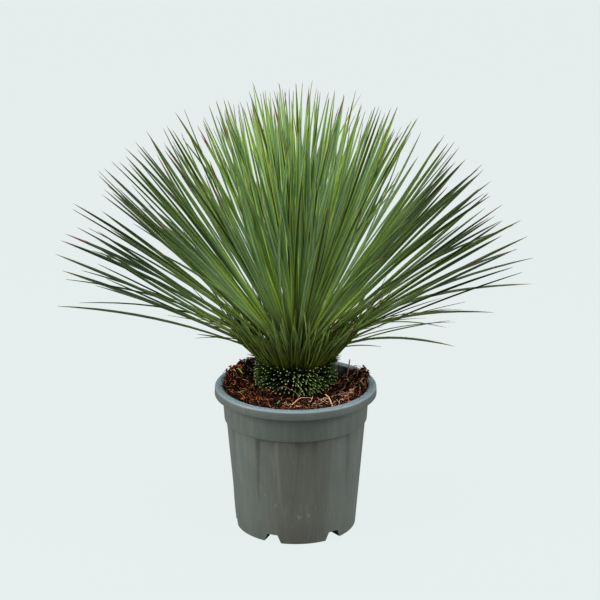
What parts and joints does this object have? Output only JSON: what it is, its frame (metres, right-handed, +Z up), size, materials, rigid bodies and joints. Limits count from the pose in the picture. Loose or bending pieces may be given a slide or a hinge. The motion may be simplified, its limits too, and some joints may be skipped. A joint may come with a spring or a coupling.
{
  "type": "potted yucca",
  "caption": "Potted yucca: a round head of long narrow stiff leaves on a short stem with trimmed leaf stubs, in potting mix in a fluted round nursery pot.",
  "frame": {"origin": "on the pot's axis, on the ground, under the middle of the leaf head's box", "axes": "+Z up along the pot's axis, away from the foot ring's flat face; +X to the right and +Y away from someone facing the pot, with the widest spread of leaves along X"},
  "size_m": [0.8004, 0.6277, 0.7787],
  "materials": {
    "pot_plastic": "matte",
    "potting_mix": "matte",
    "stem_and_stubs": "matte",
    "leaf_green": "satin"
  },
  "bodies": {
    "root": {"nursery_pot": "pot_plastic", "potting_mix": "potting_mix", "trimmed_stem": "stem_and_stubs", "leaf_crown": "leaf_green"}
  },
  "joints": []
}
